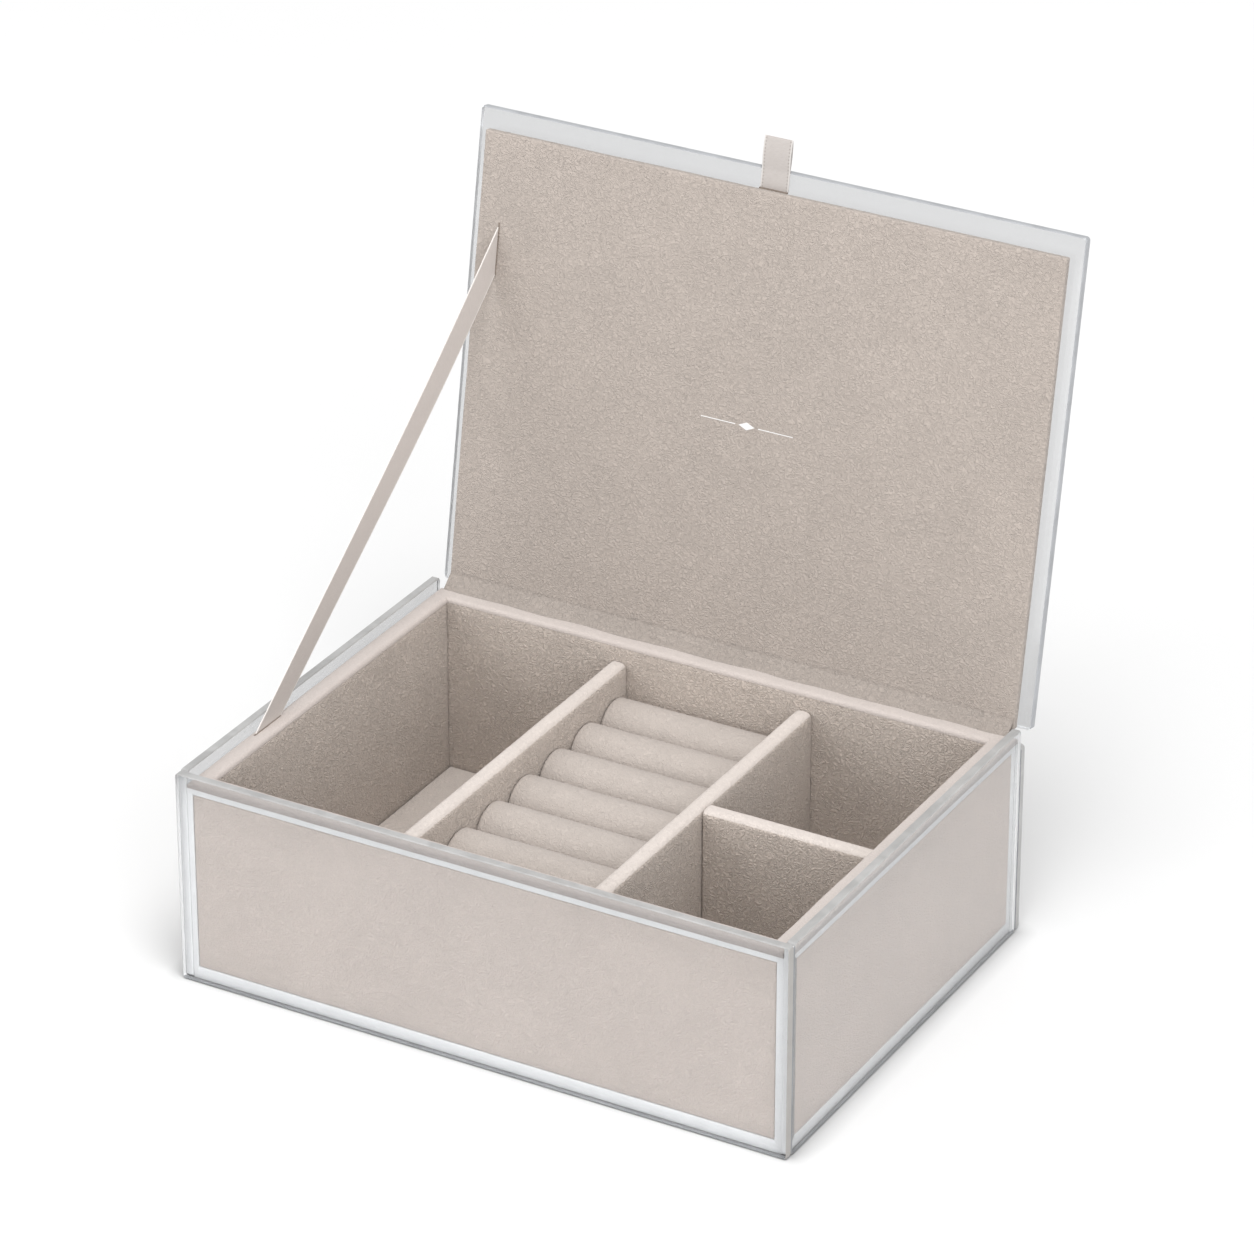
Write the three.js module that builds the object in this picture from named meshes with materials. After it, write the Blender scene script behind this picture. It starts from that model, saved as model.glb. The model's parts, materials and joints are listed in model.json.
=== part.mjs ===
// A clear-walled jewellery box with a suede-lined tray and a hinged glass lid.
//
// Five glass sheets make the case. Inside them stands a white board carcass. Against the glass it
// has a suede cover panel in a white border frame, on its inside suede liners, and over its top
// edge a suede rim. Two dividers
// and a cross divider part the tray, and the middle column holds ring rolls on a raised bed.
// The lid is a glass plate with a suede pad under it. It turns on a cloth hinge along the back
// and is held open by a ribbon stay at the left.
//
// Millimetres, +Z up, front towards -Y, origin at the middle of the underside of the case.
// The lid stands open, held by the ribbon.
import * as THREE from 'three';

// Case
const caseWidth = 260;
const caseDepth = 190;
const glassThickness = 3.5;
const wallTop = 88.8;
const backWallTop = 80.7;
const glassCorner = 1.5;
const glassArris = 0.4;
const fitGap = 0.3;

// Layers of a wall, as depths from its outer glass face
const panelOuter = glassThickness + fitGap;
const panelInner = panelOuter + 1;
const backingOuter = panelInner + fitGap;
const backingInner = backingOuter + 2.4;
const linerOuter = backingInner + fitGap;
const linerInner = 11;

// Heights
const rimTop = 84.6;
const rimThickness = 2;
const rimOuterRound = 1.1;
const rimInnerRound = 1.7;
const borderBottom = 0.8;
const panelBottom = 5.9;
const panelTop = 80;
const baseBoardThickness = 2;
const floorTop = 9;
const dividerTop = 76.8;

// Cover panels stop short of the corners
const frontPanelMargin = 6.5;
const sidePanelMargin = 8.8;

// Tray
const dividerThickness = 7.3;
const dividerRound = 2.6;
const columnWidth = (caseWidth - 2 * linerInner - 2 * dividerThickness) / 3;
const crossDividerThickness = 7.5;
const crossDividerCentreY = -0.75;

// Ring rolls
const rollCount = 7;
const rollPitch = 23.6;
const rollRadius = (rollPitch - fitGap) / 2;
const rollSides = 32;
const rollTop = 66.4;

// Lid, closed: lengths from the hinge line towards the front, heights above it
const hingeHeight = 84.9;
const lidOpenDegrees = 100;
const lidLength = caseDepth + 4;
const lidGlassUnder = 4.4;
const lidPadThickness = 3;
const lidBackingUnder = 3.3;
const lidBackingTop = 4;
const lidPadSideMargin = 5.2;
const lidPadLength = 186.1;
const lidBackingInset = 0.6;

// Pull tab, hinge cloth and ribbon stay
const ribbonWidth = 12;
const tabLength = 19;
const tabUnder = 4;
const tabTop = 4.3;
const clothThickness = 0.7;
const clothMargin = 5.5;
const clothLidReach = 4;
const stayThickness = 0.5;
const stayBaseInset = 5.6;
const stayTopInset = 14.4;
const stayBaseFront = 46;
const stayBaseBack = 63.8;
const stayTopLow = 130.2;
const stayTopHigh = 149.8;

const roundSegments = 4;

const colours = {
  glass: { color: 0xe6eeee, roughness: 0.05, metalness: 0, transparent: true, opacity: 0.35 },
  board: { color: 0xf1f0ee, roughness: 0.45, metalness: 0 },
  suede: { color: 0xcdc4be, roughness: 0.95, metalness: 0 },
  ribbon: { color: 0xcdc5c2, roughness: 0.4, metalness: 0 },
};

const box = new THREE.Group();
const lid = new THREE.Group();
lid.position.set(0, caseDepth / 2, hingeHeight);
lid.rotation.x = THREE.MathUtils.degToRad(-lidOpenDegrees);
box.add(lid);

function addPiece(group, name, finish, geometry) {
  const mesh = new THREE.Mesh(geometry, new THREE.MeshStandardMaterial(colours[finish]));
  mesh.name = name;
  group.add(mesh);
  return mesh;
}

// A block between two corners
function block(low, high) {
  const size = high.map((value, axis) => value - low[axis]);
  const centre = high.map((value, axis) => (value + low[axis]) / 2);
  return new THREE.BoxGeometry(...size).translate(...centre);
}

// A glass sheet lying flat, with rounded corners and arrised edges, its lowest corner at 0
function glassSheet(width, height) {
  const w = width - 2 * glassArris;
  const h = height - 2 * glassArris;
  const r = glassCorner - glassArris;
  const outline = new THREE.Shape();
  outline.moveTo(r, 0);
  outline.lineTo(w - r, 0);
  outline.absarc(w - r, r, r, -Math.PI / 2, 0);
  outline.lineTo(w, h - r);
  outline.absarc(w - r, h - r, r, 0, Math.PI / 2);
  outline.lineTo(r, h);
  outline.absarc(r, h - r, r, Math.PI / 2, Math.PI);
  outline.lineTo(0, r);
  outline.absarc(r, r, r, Math.PI, 1.5 * Math.PI);
  const sheet = new THREE.ExtrudeGeometry(outline, {
    depth: glassThickness - 2 * glassArris,
    bevelEnabled: true,
    bevelSize: glassArris,
    bevelThickness: glassArris,
    bevelSegments: 1,
    curveSegments: roundSegments,
  });
  return sheet.translate(glassArris, glassArris, glassArris);
}

// Turns a shape drawn in the X-Y plane and extruded along Z so that it is a section in Y-Z
// that runs along X
const sectionAlongX = new THREE.Matrix4().makeBasis(
  new THREE.Vector3(0, 1, 0),
  new THREE.Vector3(0, 0, 1),
  new THREE.Vector3(1, 0, 0),
);

// Runs a section along X, centred, with its own x as Y and its own y as Z
function runSection(section, length) {
  const geometry = new THREE.ExtrudeGeometry(section, {
    depth: length,
    bevelEnabled: false,
    curveSegments: roundSegments,
  });
  return geometry.translate(0, 0, -length / 2).applyMatrix4(sectionAlongX);
}

function rectangle(low, high, bottom, top) {
  const outline = new THREE.Shape();
  outline.moveTo(low, bottom);
  outline.lineTo(high, bottom);
  outline.lineTo(high, top);
  outline.lineTo(low, top);
  return outline;
}

// The four walls: quarter turns from the front, and how far each stands from the middle
const sides = [
  { name: 'front', turns: 0, reach: caseDepth / 2, isSide: false },
  { name: 'right', turns: 1, reach: caseWidth / 2, isSide: true },
  { name: 'back', turns: 2, reach: caseDepth / 2, isSide: false },
  { name: 'left', turns: 3, reach: caseWidth / 2, isSide: true },
];

// Stands a section, drawn as depth from the outer face and height, along one wall
function alongWall(side, section, length) {
  return runSection(section, length)
    .translate(0, -side.reach, 0)
    .rotateZ((side.turns * Math.PI) / 2);
}

// The length of a piece on this wall that ends at a depth from each neighbouring wall
function lengthBetween(side, depth) {
  return (side.isSide ? caseDepth : caseWidth) - 2 * depth;
}

// Case glass: the front and back sheets cover the ends of the side sheets
function buildCaseGlass(side) {
  const length = lengthBetween(side, side.isSide ? glassThickness + fitGap : 0);
  const height = side.name === 'back' ? backWallTop : wallTop;
  const sheet = glassSheet(length, height)
    .rotateX(Math.PI / 2)
    .translate(-length / 2, glassThickness - side.reach, 0)
    .rotateZ((side.turns * Math.PI) / 2);
  addPiece(box, `${side.name}_glass`, 'glass', sheet);
}

function buildBase() {
  const glassReach = { x: caseWidth / 2 - backingOuter, y: caseDepth / 2 - backingOuter };
  const sheet = glassSheet(2 * glassReach.x, 2 * glassReach.y);
  addPiece(box, 'base_glass', 'glass', sheet.translate(-glassReach.x, -glassReach.y, 0));

  const boardReach = { x: caseWidth / 2 - linerOuter, y: caseDepth / 2 - linerOuter };
  const bottom = glassThickness + fitGap;
  const board = block(
    [-boardReach.x, -boardReach.y, bottom],
    [boardReach.x, boardReach.y, bottom + baseBoardThickness],
  );
  addPiece(box, 'base_board', 'board', board);
}

const carcassBottom = glassThickness + fitGap;
const rimUnder = rimTop - rimThickness;
const linerBottom = carcassBottom + baseBoardThickness + fitGap;

// Suede cover panel, seen through the glass
function buildCoverPanel(side) {
  const margin = side.isSide ? sidePanelMargin : frontPanelMargin;
  const section = rectangle(panelOuter, panelInner, panelBottom, panelTop);
  const panel = alongWall(side, section, lengthBetween(side, margin));
  addPiece(box, `${side.name}_panel`, 'suede', panel);
}

// White frame round the cover panel, cut from sheet as thick as the panel
function buildBorder(side) {
  const half = lengthBetween(side, side.isSide ? panelInner + fitGap : panelOuter) / 2;
  const outline = rectangle(-half, half, borderBottom, rimUnder - fitGap);
  const margin = side.isSide ? sidePanelMargin : frontPanelMargin;
  const openHalf = lengthBetween(side, margin) / 2 + fitGap;
  const opening = new THREE.Path();
  opening.moveTo(-openHalf, panelBottom - fitGap);
  opening.lineTo(-openHalf, panelTop + fitGap);
  opening.lineTo(openHalf, panelTop + fitGap);
  opening.lineTo(openHalf, panelBottom - fitGap);
  outline.holes.push(opening);
  const border = new THREE.ExtrudeGeometry(outline, {
    depth: panelInner - panelOuter,
    bevelEnabled: false,
  })
    .rotateX(Math.PI / 2)
    .translate(0, panelInner - side.reach, 0)
    .rotateZ((side.turns * Math.PI) / 2);
  addPiece(box, `${side.name}_border`, 'board', border);
}

// White carcass board behind the cover panel
function buildBacking(side) {
  const section = rectangle(backingOuter, backingInner, carcassBottom, rimUnder - fitGap);
  const length = lengthBetween(side, side.isSide ? linerOuter : backingOuter);
  addPiece(box, `${side.name}_backing`, 'board', alongWall(side, section, length));
}

// Suede liner on the inside of the carcass
function buildLiner(side) {
  const section = rectangle(linerOuter, linerInner, linerBottom, rimUnder - fitGap);
  const length = lengthBetween(side, side.isSide ? linerInner + fitGap : linerOuter);
  addPiece(box, `${side.name}_liner`, 'suede', alongWall(side, section, length));
}

// Suede rim: a rounded cap over the wall, from the glass to the tray
function buildRim(side) {
  const section = new THREE.Shape();
  section.moveTo(panelOuter, rimUnder);
  section.lineTo(linerInner, rimUnder);
  section.absarc(linerInner - rimInnerRound, rimTop - rimInnerRound, rimInnerRound, 0, Math.PI / 2);
  section.absarc(panelOuter + rimOuterRound, rimTop - rimOuterRound, rimOuterRound,
    Math.PI / 2, Math.PI);
  const length = lengthBetween(side, side.isSide ? linerInner + fitGap : panelOuter);
  addPiece(box, `${side.name}_rim`, 'suede', alongWall(side, section, length));
}

for (const side of sides) {
  buildCaseGlass(side);
  buildCoverPanel(side);
  buildBorder(side);
  buildBacking(side);
  buildLiner(side);
  buildRim(side);
}
buildBase();

// Tray layout
const trayLeft = linerInner - caseWidth / 2;
const trayRight = -trayLeft;
const trayFront = linerInner - caseDepth / 2;
const trayBack = -trayFront;
const dividerOffset = columnWidth / 2 + dividerThickness / 2;
const ringColumn = { low: -columnWidth / 2, high: columnWidth / 2 };

// A suede-covered board standing on edge with its top rounded over
function boardSection(thickness) {
  const half = thickness / 2;
  const section = new THREE.Shape();
  section.moveTo(-half, linerBottom);
  section.lineTo(half, linerBottom);
  section.absarc(half - dividerRound, dividerTop - dividerRound, dividerRound, 0, Math.PI / 2);
  section.absarc(dividerRound - half, dividerTop - dividerRound, dividerRound,
    Math.PI / 2, Math.PI);
  return section;
}

function buildDividers() {
  const length = trayBack - trayFront - 2 * fitGap;
  for (const [name, centre] of [['divider_left', -dividerOffset], ['divider_right', dividerOffset]]) {
    const board = runSection(boardSection(dividerThickness), length);
    addPiece(box, name, 'suede', board.rotateZ(Math.PI / 2).translate(centre, 0, 0));
  }
  const low = dividerOffset + dividerThickness / 2 + fitGap;
  const high = trayRight - fitGap;
  const cross = runSection(boardSection(crossDividerThickness), high - low);
  addPiece(box, 'cross_divider', 'suede', cross.translate((low + high) / 2, crossDividerCentreY, 0));
}

// Thin suede pads on the floors of the open compartments
function buildFloorPads() {
  const crossHalf = crossDividerThickness / 2;
  const columnLeft = dividerOffset + dividerThickness / 2;
  const floors = [
    ['floor_pad_left', [trayLeft, trayFront], [-columnLeft, trayBack]],
    ['floor_pad_right_front', [columnLeft, trayFront], [trayRight, crossDividerCentreY - crossHalf]],
    ['floor_pad_right_back', [columnLeft, crossDividerCentreY + crossHalf], [trayRight, trayBack]],
  ];
  for (const [name, low, high] of floors) {
    const pad = block(
      [low[0] + fitGap, low[1] + fitGap, linerBottom],
      [high[0] - fitGap, high[1] - fitGap, floorTop],
    );
    addPiece(box, name, 'suede', pad);
  }
}

// The raised bed and the padded rolls that hold rings between them
function buildRingInsert() {
  const axisHeight = rollTop - rollRadius;
  const bed = block(
    [ringColumn.low + fitGap, trayFront + fitGap, linerBottom],
    [ringColumn.high - fitGap, trayBack - fitGap, axisHeight - rollRadius - fitGap],
  );
  addPiece(box, 'ring_bed', 'suede', bed);
  const length = columnWidth - 2 * fitGap;
  const firstCentre = trayBack - fitGap - rollRadius;
  for (let index = 0; index < rollCount; index += 1) {
    const roll = new THREE.CylinderGeometry(rollRadius, rollRadius, length, rollSides)
      .rotateZ(Math.PI / 2)
      .translate(0, firstCentre - index * rollPitch, axisHeight);
    addPiece(box, `ring_roll_${index + 1}`, 'suede', roll);
  }
}

buildDividers();
buildFloorPads();
buildRingInsert();

// Lid pieces, drawn closed in the lid's own group: the hinge line is its origin
function buildLid() {
  const glass = glassSheet(caseWidth, lidLength);
  addPiece(lid, 'lid_glass', 'glass', glass.translate(-caseWidth / 2, -lidLength, lidGlassUnder));

  const padReach = caseWidth / 2 - lidPadSideMargin;
  const pad = block([-padReach, -lidPadLength, 0], [padReach, -fitGap, lidPadThickness]);
  addPiece(lid, 'lid_pad', 'suede', pad);

  const backingReach = padReach - lidBackingInset;
  const backing = block(
    [-backingReach, lidBackingInset - lidPadLength, lidBackingUnder],
    [backingReach, -lidBackingInset, lidBackingTop],
  );
  addPiece(lid, 'lid_backing', 'suede', backing);

  const tab = block(
    [-ribbonWidth / 2, -lidPadLength - tabLength, tabUnder],
    [ribbonWidth / 2, -lidPadLength - fitGap, tabTop],
  );
  addPiece(lid, 'pull_tab', 'ribbon', tab);
}

// Living hinge: a cloth band from the back rim, over the back glass, to the foot of the lid
function buildHingeCloth() {
  const bend = THREE.MathUtils.degToRad(lidOpenDegrees - 90);
  const start = caseDepth / 2 - glassThickness;
  const edge = caseDepth / 2;
  const end = [edge + clothLidReach * Math.cos(bend), rimTop - clothLidReach * Math.sin(bend)];
  const band = new THREE.Shape();
  band.moveTo(start, rimTop - clothThickness);
  band.lineTo(edge, rimTop - clothThickness);
  band.lineTo(end[0] - clothThickness * Math.sin(bend), end[1] - clothThickness * Math.cos(bend));
  band.lineTo(end[0], end[1]);
  band.lineTo(edge, rimTop);
  band.lineTo(start, rimTop);
  addPiece(box, 'hinge_cloth', 'suede', runSection(band, caseWidth - 2 * clothMargin));
}

// A point on the pad's face of the open lid, at a length from the hinge line
function onLidFace(length) {
  const lean = THREE.MathUtils.degToRad(lidOpenDegrees - 90);
  return [
    caseDepth / 2 + length * Math.sin(lean) - fitGap * Math.cos(lean),
    hingeHeight + length * Math.cos(lean) + fitGap * Math.sin(lean),
  ];
}

// Ribbon stay: a slanting band from a slot in the left rim to a slot in the lid pad
function buildRibbonStay() {
  const foot = rimTop + fitGap;
  const low = onLidFace(stayTopLow);
  const high = onLidFace(stayTopHigh);
  const band = new THREE.Shape();
  band.moveTo(stayBaseFront - caseDepth / 2, foot);
  band.lineTo(stayBaseBack - caseDepth / 2, foot);
  band.lineTo(...low);
  band.lineTo(...high);
  const lean = (stayTopInset - stayBaseInset) / ((low[1] + high[1]) / 2 - foot);
  const tilt = new THREE.Matrix4().set(
    1, 0, lean, stayBaseInset - caseWidth / 2 - lean * foot,
    0, 1, 0, 0,
    0, 0, 1, 0,
    0, 0, 0, 1,
  );
  addPiece(box, 'ribbon_stay', 'ribbon', runSection(band, stayThickness).applyMatrix4(tilt));
}

buildLid();
buildHingeCloth();
buildRibbonStay();

export default box;
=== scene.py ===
import json
import math

import bmesh
import bpy
from mathutils import Matrix, Vector


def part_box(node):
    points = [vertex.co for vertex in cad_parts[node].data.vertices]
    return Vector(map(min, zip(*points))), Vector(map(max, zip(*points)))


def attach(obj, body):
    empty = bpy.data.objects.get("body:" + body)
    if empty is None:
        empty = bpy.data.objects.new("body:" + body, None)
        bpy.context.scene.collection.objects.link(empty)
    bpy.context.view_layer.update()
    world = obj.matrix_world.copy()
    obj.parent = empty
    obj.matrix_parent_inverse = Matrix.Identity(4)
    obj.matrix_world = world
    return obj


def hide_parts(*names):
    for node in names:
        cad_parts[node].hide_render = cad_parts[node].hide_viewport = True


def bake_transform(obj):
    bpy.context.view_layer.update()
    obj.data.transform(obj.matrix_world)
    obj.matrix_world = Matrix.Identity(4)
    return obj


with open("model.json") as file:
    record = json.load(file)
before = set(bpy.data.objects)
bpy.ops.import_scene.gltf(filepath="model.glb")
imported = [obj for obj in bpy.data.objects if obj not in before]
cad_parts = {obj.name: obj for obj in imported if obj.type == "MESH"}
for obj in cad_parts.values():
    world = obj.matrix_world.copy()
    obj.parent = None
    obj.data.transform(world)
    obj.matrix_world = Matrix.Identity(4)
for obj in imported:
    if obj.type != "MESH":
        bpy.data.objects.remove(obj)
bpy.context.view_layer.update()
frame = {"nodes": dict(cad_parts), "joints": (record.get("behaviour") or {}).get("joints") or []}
mm = 0.001
caseBody, lidBody = "case", "lid"
sides = ("front", "right", "back", "left")
print("frame loaded:", len(frame["nodes"]), "nodes")


# camera
shot = {
    "pitch": 27.639,  # degrees below level
    "yaw": 29.487,  # degrees to the left of straight ahead
    "distance": 2.1828,
    "aim": (10.2 * mm, 0, 143.2 * mm),
    "lens": 169.06,
}


def placeCamera():
    pitch, yaw = math.radians(shot["pitch"]), math.radians(shot["yaw"])
    back = Vector((math.sin(yaw) * math.cos(pitch), -math.cos(yaw) * math.cos(pitch), math.sin(pitch)))
    bpy.ops.object.camera_add(location=Vector(shot["aim"]) + back * shot["distance"])
    camera = bpy.context.object
    camera.rotation_euler = (-back).to_track_quat("-Z", "Y").to_euler()
    camera.data.lens = shot["lens"]
    camera.data.clip_end = 50
    bpy.context.scene.camera = camera


placeCamera()
print("camera ready")


# finishes
def newMaterial(name):
    material = bpy.data.materials.new(name)
    material.use_nodes = True
    tree = material.node_tree
    return material, tree, tree.nodes["Principled BSDF"]


def addNoise(tree, coordinates, scale, detail=3.0, roughness=0.55, distortion=0.0):
    noise = tree.nodes.new("ShaderNodeTexNoise")
    noise.inputs["Scale"].default_value = scale
    noise.inputs["Detail"].default_value = detail
    noise.inputs["Roughness"].default_value = roughness
    noise.inputs["Distortion"].default_value = distortion
    tree.links.new(coordinates, noise.inputs["Vector"])
    return noise.outputs["Fac"]


def addMath(tree, operation, first, second):
    node = tree.nodes.new("ShaderNodeMath")
    node.operation = operation
    for socket, value in zip(node.inputs, (first, second)):
        if isinstance(value, (int, float)):
            socket.default_value = value
        else:
            tree.links.new(value, socket)
    return node.outputs[0]


def addSum(tree, *terms):
    total = 0
    for value, weight in terms:
        total = addMath(tree, "ADD", addMath(tree, "MULTIPLY", value, weight), total)
    return total


def addRamp(tree, factor, stops):
    ramp = tree.nodes.new("ShaderNodeValToRGB")
    elements = ramp.color_ramp.elements
    while len(elements) < len(stops):
        elements.new(0.5)
    for element, (place, colour) in zip(elements, stops):
        element.position = place
        element.color = (*colour, 1)
    tree.links.new(factor, ramp.inputs["Fac"])
    return ramp.outputs["Color"]


def addBump(tree, height, distance, strength):
    bump = tree.nodes.new("ShaderNodeBump")
    bump.inputs["Strength"].default_value = strength
    bump.inputs["Distance"].default_value = distance
    tree.links.new(height, bump.inputs["Height"])
    return bump.outputs["Normal"]


# Brushed microsuede: a fine grain, short curled nap strokes and soft light and dark patches
def suedeFinish(name, colour, nap, spread, sheen=0.2):
    material, tree, shader = newMaterial(name)
    place = tree.nodes.new("ShaderNodeTexCoord").outputs["Object"]
    grain = addNoise(tree, place, 1500, detail=2, roughness=0.7)
    contour = addNoise(tree, place, 600, detail=1.5, roughness=0.5, distortion=1.2)
    ridge = addMath(tree, "ABSOLUTE", addMath(tree, "SUBTRACT", contour, 0.5), 0)
    strokes = addMath(tree, "MINIMUM", addMath(tree, "MULTIPLY", ridge, 6), 1)  # 0 along each curled stroke
    patches = addNoise(tree, place, 40, detail=4, roughness=0.6, distortion=0.4)
    shade = addSum(tree, (strokes, 0.12), (patches, 0.33), (grain, 0.50))
    dark = tuple(c * (1 - spread) for c in colour)
    light = tuple(min(1, c * (1 + spread)) for c in colour)
    stops = [(0.38, dark), (0.52, colour), (0.66, light)]
    tree.links.new(addRamp(tree, shade, stops), shader.inputs["Base Color"])
    height = addSum(tree, (strokes, 0.5), (grain, 0.5))
    tree.links.new(addBump(tree, height, nap, 1), shader.inputs["Normal"])
    shader.inputs["Roughness"].default_value = 0.95
    shader.inputs["Specular IOR Level"].default_value = 0.15
    shader.inputs["Sheen Weight"].default_value = sheen
    shader.inputs["Sheen Roughness"].default_value = 0.55
    return material


# Clear sheet glass, faintly grey. Lamps reach what stands behind it
def glassFinish(name, tint):
    material, tree, shader = newMaterial(name)
    shader.inputs["Base Color"].default_value = (*tint, 1)
    shader.inputs["Transmission Weight"].default_value = 1
    shader.inputs["Roughness"].default_value = 0.0
    shader.inputs["IOR"].default_value = 1.49
    shader.inputs["Specular IOR Level"].default_value = 0.3
    path = tree.nodes.new("ShaderNodeLightPath")
    clear = tree.nodes.new("ShaderNodeBsdfTransparent")
    clear.inputs["Color"].default_value = (0.96, 0.965, 0.97, 1)
    mix = tree.nodes.new("ShaderNodeMixShader")
    tree.links.new(path.outputs["Is Shadow Ray"], mix.inputs["Fac"])
    tree.links.new(shader.outputs["BSDF"], mix.inputs[1])
    tree.links.new(clear.outputs["BSDF"], mix.inputs[2])
    tree.links.new(mix.outputs["Shader"], tree.nodes["Material Output"].inputs["Surface"])
    return material


# The ground and polished edge of a sheet: pale grey, with faint cloudy streaks. The glow stands for the
# light that the sheet carries to its edge.
def glassEdgeFinish(name, colour, spread, glow=0.0):
    material, tree, shader = newMaterial(name)
    place = tree.nodes.new("ShaderNodeTexCoord").outputs["Object"]
    streaks = addNoise(tree, place, 90, detail=3, distortion=0.5)
    dark = tuple(c * (1 - spread) for c in colour)
    light = tuple(min(1, c * (1 + spread)) for c in colour)
    tree.links.new(addRamp(tree, streaks, [(0.35, dark), (0.65, light)]), shader.inputs["Base Color"])
    shader.inputs["Roughness"].default_value = 0.35
    shader.inputs["Emission Color"].default_value = (1, 1, 1, 1)
    shader.inputs["Emission Strength"].default_value = glow
    return material


# White satin board with the faint mottle of its paper face
def boardFinish():
    material, tree, shader = newMaterial("whiteBoard")
    place = tree.nodes.new("ShaderNodeTexCoord").outputs["Object"]
    mottle = addNoise(tree, place, 160, detail=3)
    tree.links.new(addRamp(tree, mottle, [(0.35, (0.92, 0.92, 0.92)), (0.65, (0.96, 0.96, 0.96))]),
                   shader.inputs["Base Color"])
    tree.links.new(addBump(tree, addNoise(tree, place, 900), 0.00003, 0.3), shader.inputs["Normal"])
    shader.inputs["Roughness"].default_value = 0.4
    return material


# Satin ribbon: fine cross ribs, with a firmer woven edge down each side. Reads the ribbon's own UV map,
# u across the width and v along the length in ribs. A stitched one has a row of stitches by each edge.
def ribbonFinish(name, lift=1.0, isStitched=False):
    material, tree, shader = newMaterial(name)
    uv = tree.nodes.new("ShaderNodeUVMap").outputs["UV"]
    split = tree.nodes.new("ShaderNodeSeparateXYZ")
    tree.links.new(uv, split.inputs["Vector"])
    across, along = split.outputs["X"], split.outputs["Y"]
    ribs = addMath(tree, "SINE", addMath(tree, "MULTIPLY", along, math.tau), 0)
    threads = addMath(tree, "SINE", addMath(tree, "MULTIPLY", across, math.tau * 44), 0)
    fromMiddle = addMath(tree, "ABSOLUTE", addMath(tree, "SUBTRACT", across, 0.5), 0)
    edge = addMath(tree, "GREATER_THAN", fromMiddle, 0.455)
    slub = addNoise(tree, uv, 5, detail=2)
    shade = addSum(tree, (edge, 0.35), (slub, 0.5), (ribs, 0.05))
    if isStitched:
        fromRow = addMath(tree, "ABSOLUTE", addMath(tree, "SUBTRACT", fromMiddle, 0.43), 0)
        row = addMath(tree, "LESS_THAN", fromRow, 0.02)
        beat = addMath(tree, "SINE", addMath(tree, "MULTIPLY", along, math.tau / 3), 0)
        stitch = addMath(tree, "MULTIPLY", row, addMath(tree, "GREATER_THAN", beat, 0.3))
        shade = addMath(tree, "SUBTRACT", shade, addMath(tree, "MULTIPLY", stitch, 0.5))
    tones = [
        (0, (0.27, 0.24, 0.22)),
        (0.2, (0.40, 0.365, 0.345)),
        (0.4, (0.455, 0.425, 0.405)),
        (0.7, (0.55, 0.525, 0.505)),
    ]
    stops = [(place, tuple(lift * c for c in tone)) for place, tone in tones]
    tree.links.new(addRamp(tree, shade, stops), shader.inputs["Base Color"])
    height = addSum(tree, (ribs, 0.6), (threads, 0.3), (edge, 0.8))
    tree.links.new(addBump(tree, height, 0.00005, 0.5), shader.inputs["Normal"])
    shader.inputs["Roughness"].default_value = 0.42
    shader.inputs["Sheen Weight"].default_value = 0.2
    shader.inputs["Anisotropic"].default_value = 0.3
    return material


# Pale silver hot foil pressed into suede, so the nap shows through it a little
def foilFinish():
    material, tree, shader = newMaterial("silverFoil")
    place = tree.nodes.new("ShaderNodeTexCoord").outputs["Object"]
    tree.links.new(addBump(tree, addNoise(tree, place, 1500), 0.00006, 0.5), shader.inputs["Normal"])
    shader.inputs["Base Color"].default_value = (0.78, 0.77, 0.76, 1)
    shader.inputs["Metallic"].default_value = 0.85
    shader.inputs["Roughness"].default_value = 0.38
    return material


# One suede throughout, its tone set part by part for the light each part gets: the cover panels behind the
# glass are painted lighter, the side ones most, to make up for the light the glass keeps off them; the walls
# inside the tray are painted lighter against the shade there; the divider tops are a painted highlight; the
# hinge lining is a darker painted-shade copy of the lid pad. The tones of the other parts differ a little as
# well.
suedeColours = {
    "cover": (0.72, 0.625, 0.565),
    "rim": (0.53, 0.475, 0.445),
    "wall": (0.565, 0.494, 0.440),
    "dividerTop": (0.62, 0.56, 0.52),
    "floor": (0.53, 0.475, 0.435),
    "sideCover": (0.78, 0.655, 0.58),
    "top": (0.56, 0.49, 0.45),
    "roll": (0.47, 0.42, 0.385),
    "lidPad": (0.418, 0.366, 0.329),
}
coverSuede = suedeFinish("coverSuede", suedeColours["cover"], 0.00030, 0.08)
rimSuede = suedeFinish("rimSuede", suedeColours["rim"], 0.00020, 0.06)
wallSuede = suedeFinish("wallSuede", suedeColours["wall"], 0.00070, 0.11)
dividerTopSuede = suedeFinish("dividerTopSuede", suedeColours["dividerTop"], 0.00030, 0.06)
floorSuede = suedeFinish("floorSuede", suedeColours["floor"], 0.00035, 0.08)
topSuede = suedeFinish("topSuede", suedeColours["top"], 0.00035, 0.08)
sideCoverSuede = suedeFinish("sideCoverSuede", suedeColours["sideCover"], 0.00035, 0.08)
rollSuede = suedeFinish("rollSuede", suedeColours["roll"], 0.00032, 0.07)
lidSuede = suedeFinish("lidSuede", suedeColours["lidPad"], 0.00048, 0.09)
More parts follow.
